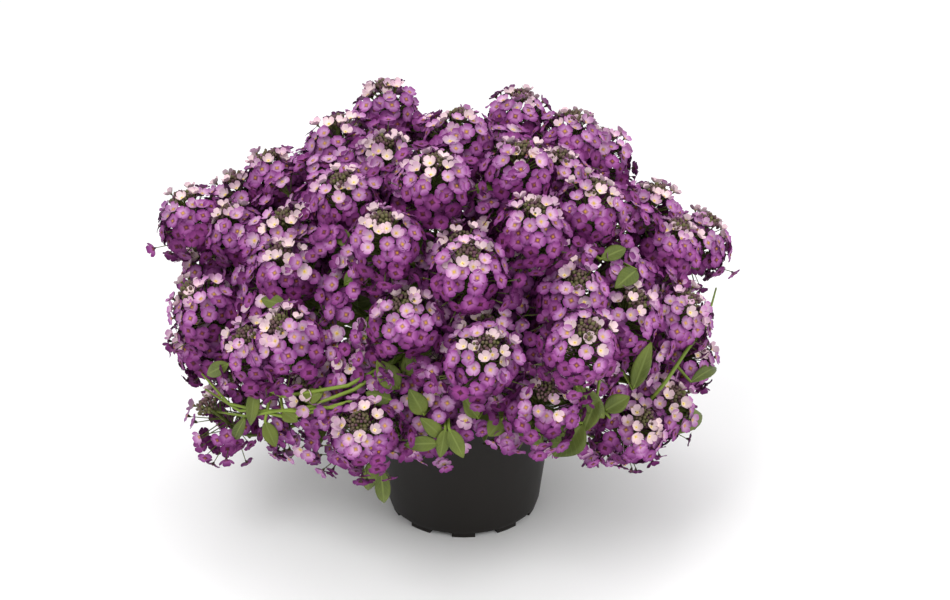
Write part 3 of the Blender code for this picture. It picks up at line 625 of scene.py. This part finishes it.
def add_seen_leaves(green, leaf):
    """The leaves that show below and between the heads, on twigs from the nearest shoots."""
    rng = random.Random(5)
    shoots = stem_points()
    blades, twigs = bmesh.new(), bmesh.new()
    blades.loops.layers.uv.new("blade")
    for root_seen, tip_seen, half_wide, depth in SEEN_LEAVES:
        root, ray = on_dome(*root_seen)
        tip, tip_ray = on_dome(*tip_seen)
        root, tip = root + ray * depth, tip + tip_ray * (depth - 2)
        leaf_blade(blades, root, tip, half_wide, -ray + np.array([0, 0, 0.15]), rng.uniform(*BLADE_BEND))
        start = nearest_shoot(root + ray * 12, shoots)
        middle = (start + root) / 2 + np.array([0, 0, 3])
        if np.linalg.norm(start - root) > 2:
            tube(twigs, [start, middle, root, root + (tip - root) * 0.12], [1.0, 0.9, 0.8, 0.5], 6)
    for seen in SEEN_SHOOTS:
        path = [spot + ray * SHOOT_DEPTH for spot, ray in (on_dome(*point) for point in seen)]
        start = nearest_shoot(path[0] + unit(path[0] - path[1]) * 10, shoots)
        tube(twigs, [start] + path, [1.1, 1.05, 1.0, 0.8, 0.5], 8)
    piece = finish_piece("seen_leaves", blades, leaf)
    wall = piece.modifiers.new("blade", "SOLIDIFY")
    wall.thickness = BLADE_THICK * MM
    finish_piece("twigs", twigs, green)


def add_inner_leaves(leaf, heads):
    """Small leaves crowding the shoots inside the dome, clear of the pot and of the heads' middles."""
    rng = random.Random(17)
    shoots = stem_points()
    centres, _, sizes, _ = heads
    blades = bmesh.new()
    blades.loops.layers.uv.new("blade")
    for _ in range(INNER_LEAVES):
        root = shoots[rng.randrange(len(shoots))]
        away = unit((root - DOME_CENTRE) * [1, 1, 0.6] + wander(rng, INNER_WANDER))
        tip = root + away * rng.uniform(*INNER_REACH)
        on_dome_scale = (tip - DOME_CENTRE) / DOME_SIZE
        if on_dome_scale @ on_dome_scale > INNER_DOME or root[2] < SOIL_TOP + 4:
            continue
        if tip[2] < POT_HEIGHT + 3 and math.hypot(tip[0], tip[1]) < POT_RIM_R + 4:
            continue
        if (np.linalg.norm(centres - tip, axis=1) < sizes * HEAD_MIDDLE).any():
            continue
        half_wide, bend = rng.uniform(*INNER_HALF_WIDE), rng.uniform(*INNER_BEND)
        leaf_blade(blades, root, tip, half_wide, np.array([0, -0.4, 1]), bend, SMALL_BLADE_GRID)
    finish_piece("inner_leaves", blades, leaf)


def refined(name, node, finish):
    """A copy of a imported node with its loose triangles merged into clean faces."""
    bm = bmesh.new()
    bm.from_mesh(node.data)
    bmesh.ops.remove_doubles(bm, verts=bm.verts, dist=MERGE_WITHIN)
    bmesh.ops.join_triangles(bm, faces=bm.faces, angle_face_threshold=math.radians(2),
                             angle_shape_threshold=math.pi)
    bmesh.ops.recalc_face_normals(bm, faces=bm.faces)
    bmesh.ops.scale(bm, verts=bm.verts, vec=(1 / MM, 1 / MM, 1 / MM))
    piece = finish_piece(name, bm, finish)
    piece.data.set_sharp_from_angle(angle=math.radians(30))
    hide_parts(node.name)
    return piece


def dress_pot(plastic):
    """The pot's wall smoothed round, with its rim, foot and lugs eased."""
    piece = refined("growing_pot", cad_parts["pot"], plastic)
    edges = piece.modifiers.new("eased_edges", "BEVEL")
    edges.width = POT_EDGE * MM
    edges.segments = 2
    edges.limit_method = "ANGLE"
    edges.angle_limit = math.radians(50)


def dress_soil(compost):
    """The compost with crumbs scattered on top."""
    rng = random.Random(23)
    bm = bmesh.new()
    for _ in range(CRUMBS):
        turn, reach = rng.uniform(0, math.tau), CRUMB_RING * math.sqrt(rng.random())
        height = SOIL_TOP + SOIL_CROWN - CRUMB_SINK - CRUMB_FALL * (reach / CRUMB_RING) ** 2
        spin = Matrix.Rotation(rng.uniform(0, math.tau), 4, (rng.random(), rng.random(), 1))
        size = Matrix.Diagonal((*(rng.uniform(*sizes) for sizes in CRUMB_SIZES), 1))
        place = Matrix.Translation((reach * math.cos(turn), reach * math.sin(turn), height)) @ spin @ size
        bmesh.ops.create_icosphere(bm, subdivisions=1, radius=1, matrix=place)
    finish_piece("compost_crumbs", bm, compost, smooth=False)
    refined("compost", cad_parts["soil"], compost)


def node_kit(name):
    """A new material, its node tree and its shader."""
    made = bpy.data.materials.new(name)
    made.use_nodes = True
    tree = made.node_tree
    return made, tree, tree.nodes["Principled BSDF"]


def ramp(tree, stops, source):
    node = tree.nodes.new("ShaderNodeValToRGB")
    elements = node.color_ramp.elements
    while len(elements) < len(stops):
        elements.new(0.5)
    for element, (position, colour) in zip(elements, stops):
        element.position = position
        element.color = (*colour, 1)
    tree.links.new(source, node.inputs["Fac"])
    return node.outputs["Color"]


def mix(tree, factor, first, second, blend="MIX"):
    node = tree.nodes.new("ShaderNodeMix")
    node.data_type = "RGBA"
    node.blend_type = blend
    for name, value in (("Factor", factor), ("A", first), ("B", second)):
        if isinstance(value, bpy.types.NodeSocket):
            tree.links.new(value, node.inputs[name])
        else:
            node.inputs[name].default_value = value if isinstance(value, float) else (*value, 1)
    return node.outputs["Result"]


def maths(tree, operation, first, second=0.0):
    node = tree.nodes.new("ShaderNodeMath")
    node.operation = operation
    for socket, value in zip(node.inputs, (first, second)):
        if isinstance(value, bpy.types.NodeSocket):
            tree.links.new(value, socket)
        else:
            socket.default_value = value
    return node.outputs["Value"]


def uv_parts(tree, name):
    """The two parts of a piece's own UV map."""
    uv_map = tree.nodes.new("ShaderNodeUVMap")
    uv_map.uv_map = name
    split = tree.nodes.new("ShaderNodeSeparateXYZ")
    tree.links.new(uv_map.outputs["UV"], split.inputs["Vector"])
    return split.outputs["X"], split.outputs["Y"]


def uneven_roughness(tree, shader, source, low, high):
    """Roughness from low to high, as a mottled mask goes from its dark to its light patches."""
    rough = ramp(tree, ((0.3, (low, low, low)), (0.7, (high, high, high))), source)
    tree.links.new(rough, shader.inputs["Roughness"])


def mottle_group():
    """Soft uneven tone: a mask and a height from two sizes of noise on Object coordinates."""
    group = bpy.data.node_groups.new("mottle", "ShaderNodeTree")
    group.interface.new_socket("Scale", in_out="INPUT", socket_type="NodeSocketFloat")
    group.interface.new_socket("Tone", in_out="OUTPUT", socket_type="NodeSocketFloat")
    group.interface.new_socket("Grain", in_out="OUTPUT", socket_type="NodeSocketFloat")
    nodes, links = group.nodes, group.links
    entry, leave = nodes.new("NodeGroupInput"), nodes.new("NodeGroupOutput")
    coordinates = nodes.new("ShaderNodeTexCoord")
    for output, factor, detail in (("Tone", 1.0, 3), ("Grain", 9.0, 4)):
        scale = nodes.new("ShaderNodeMath")
        scale.operation = "MULTIPLY"
        scale.inputs[1].default_value = factor
        noise = nodes.new("ShaderNodeTexNoise")
        noise.inputs["Detail"].default_value = detail
        links.new(entry.outputs["Scale"], scale.inputs[0])
        links.new(scale.outputs["Value"], noise.inputs["Scale"])
        links.new(coordinates.outputs["Object"], noise.inputs["Vector"])
        links.new(noise.outputs["Fac"], leave.inputs[output])
    return group


def mottled(tree, group, scale):
    node = tree.nodes.new("ShaderNodeGroup")
    node.node_tree = group
    node.inputs["Scale"].default_value = scale
    return node.outputs["Tone"], node.outputs["Grain"]


def bump(tree, height, shader, strength, distance):
    node = tree.nodes.new("ShaderNodeBump")
    node.inputs["Strength"].default_value = strength
    node.inputs["Distance"].default_value = distance
    tree.links.new(height, node.inputs["Height"])
    tree.links.new(node.outputs["Normal"], shader.inputs["Normal"])


def petal_finish(mottle):
    """Petals that open blush white and age through lilac to deep purple, darker at the edge, with an ochre eye."""
    made, tree, shader = node_kit("alyssum_petals")
    age = tree.nodes.new("ShaderNodeAttribute")
    age.attribute_name = "age"
    age = age.outputs["Fac"]
    across, out = uv_parts(tree, "bloom")
    tone, grain = mottled(tree, mottle, 90)
    inner = ramp(tree, PETAL_INNER, age)
    edge = ramp(tree, PETAL_EDGE, age)
    off_middle = maths(tree, "ABSOLUTE", maths(tree, "SUBTRACT", across, 0.5))
    rim = maths(tree, "MAXIMUM", out, maths(tree, "MULTIPLY", off_middle, 1.45))
    margin = ramp(tree, ((0.46, (0, 0, 0)), (0.90, (1, 1, 1))), rim)
    petal = mix(tree, margin, inner, edge)
    shade = ramp(tree, ((0.35, (0.72, 0.68, 0.74)), (0.65, (1.12, 1.08, 1.1))), tone)
    varied = mix(tree, 1.0, petal, shade, blend="MULTIPLY")
    eye_colour = ramp(tree, EYE_COLOURS, age)
    throat = ramp(tree, ((0.22, (1, 1, 1)), (0.36, (0, 0, 0))), out)
    with_throat = mix(tree, throat, varied, ramp(tree, THROAT_COLOURS, age))
    core = ramp(tree, ((0.10, (1, 1, 1)), (0.22, (0, 0, 0))), out)
    with_eye = mix(tree, core, with_throat, eye_colour)
    calyx = mix(tree, age, *CALYX_COLOURS)
    with_calyx = mix(tree, maths(tree, "GREATER_THAN", out, CALYX_MARK - 0.2), with_eye, calyx)
    bud = mix(tree, age, *BUD_COLOURS)
    colour = mix(tree, maths(tree, "GREATER_THAN", out, BUD_MARK - 0.5), with_calyx, bud)
    tree.links.new(colour, shader.inputs["Base Color"])
    uneven_roughness(tree, shader, grain, 0.50, 0.68)
    shader.inputs["Specular IOR Level"].default_value = 0.15
    bump(tree, grain, shader, 0.25, 0.0003)
    return made


def green_finish(name, mottle, dark, light, rib=None):
    """Olive-green skin with an uneven tone; a leaf also has a paler rib and side veins on its own UV map."""
    made, tree, shader = node_kit(name)
    tone, grain = mottled(tree, mottle, 45)
    colour = mix(tree, ramp(tree, ((0.35, (0, 0, 0)), (0.65, (1, 1, 1))), tone), dark, light)
    height = grain
    if rib:
        across, along = uv_parts(tree, "blade")
        off_rib = maths(tree, "ABSOLUTE", maths(tree, "SUBTRACT", across, 0.5))
        on_rib = ramp(tree, ((0.0, (1, 1, 1)), (0.09, (0, 0, 0))), off_rib)
        slant = maths(tree, "SUBTRACT", along, maths(tree, "MULTIPLY", off_rib, 0.45))
        wave = maths(tree, "ABSOLUTE", maths(tree, "SINE", maths(tree, "MULTIPLY", slant, 26.0)))
        side_vein = maths(tree, "MULTIPLY", maths(tree, "LESS_THAN", wave, 0.16), 0.35)
        veins = maths(tree, "MAXIMUM", on_rib, side_vein)
        colour = mix(tree, veins, colour, rib)
        height = maths(tree, "ADD", maths(tree, "MULTIPLY", grain, 0.4), veins)
    tree.links.new(colour, shader.inputs["Base Color"])
    uneven_roughness(tree, shader, tone, 0.45, 0.62)
    shader.inputs["Specular IOR Level"].default_value = 0.2
    bump(tree, height, shader, 0.35, 0.0004)
    return made


def plastic_finish(mottle):
    """Matt near-black moulded plastic with a faint uneven sheen."""
    made, tree, shader = node_kit("pot_plastic")
    tone, grain = mottled(tree, mottle, 22)
    tree.links.new(mix(tree, tone, *PLASTIC_COLOURS), shader.inputs["Base Color"])
    uneven_roughness(tree, shader, tone, 0.42, 0.56)
    shader.inputs["Specular IOR Level"].default_value = 0.2
    bump(tree, grain, shader, 0.12, 0.0002)
    return made


def compost_finish(mottle):
    """Dark crumbly compost with paler bark specks."""
    made, tree, shader = node_kit("compost")
    tone, grain = mottled(tree, mottle, 120)
    tree.links.new(ramp(tree, COMPOST_COLOURS, tone), shader.inputs["Base Color"])
    shader.inputs["Roughness"].default_value = 0.95
    bump(tree, grain, shader, 1.0, 0.002)
    return made


def build_stage():
    """A wide flat pale floor, soft light from above and the front, and the camera."""
    bm = bmesh.new()
    bmesh.ops.create_grid(bm, x_segments=1, y_segments=1, size=FLOOR_HALF)
    mesh = shape_of(bm, "floor")
    mesh.transform(Matrix.Scale(MM, 4))
    floor = link(bpy.data.objects.new("floor", mesh))
    paper, _, shader = node_kit("pale_floor")
    shader.inputs["Base Color"].default_value = (0.9, 0.9, 0.9, 1)
    shader.inputs["Roughness"].default_value = 0.9
    shader.inputs["Specular IOR Level"].default_value = 0.1
    mesh.materials.append(paper)
    world = bpy.data.worlds.new("studio")
    bpy.context.scene.world = world
    world.use_nodes = True
    background = world.node_tree.nodes["Background"].inputs
    background["Color"].default_value = (1, 1, 1, 1)
    background["Strength"].default_value = STUDIO_LIGHT
    for name, place, size, power in LAMPS:
        lamp = bpy.data.lights.new(name, "AREA")
        lamp.energy = power
        lamp.size = size * MM
        light = link(bpy.data.objects.new(name, lamp))
        light.location = metres(place)
        toward = metres(LAMPS_AIM) - light.location
        light.rotation_euler = toward.to_track_quat("-Z", "Y").to_euler()
    lens = bpy.data.cameras.new("camera")
    lens.sensor_width = SENSOR_WIDTH
    lens.lens = SENSOR_WIDTH * EYE_DISTANCE * VIEW_SCALE / VIEW_WIDTH
    camera = link(bpy.data.objects.new("camera", lens))
    forward = view_forward()
    camera.location = metres(AIM - forward * EYE_DISTANCE)
    camera.rotation_euler = Vector(forward).to_track_quat("-Z", "Y").to_euler()
    bpy.context.scene.camera = camera
    bpy.context.scene.view_settings.view_transform = "Standard"


def main():
    mottle = mottle_group()
    petals = petal_finish(mottle)
    green = green_finish("stem_green", mottle, *STEM_GREENS)
    thread = green_finish("stalk_green", mottle, *STALK_GREENS)
    skin = green_finish("shoot_green", mottle, *SHOOT_GREENS)
    leaf = green_finish("leaf_green", mottle, *LEAF_GREENS, rib=LEAF_RIB)
    heads = lay_out_heads()
    dress_heads(heads, petals, thread)
    add_side_sprays(petals, thread, heads)
    dress_stems(skin)
    add_seen_leaves(green, leaf)
    add_inner_leaves(leaf, heads)
    dress_pot(plastic_finish(mottle))
    dress_soil(compost_finish(mottle))
    build_stage()


main()
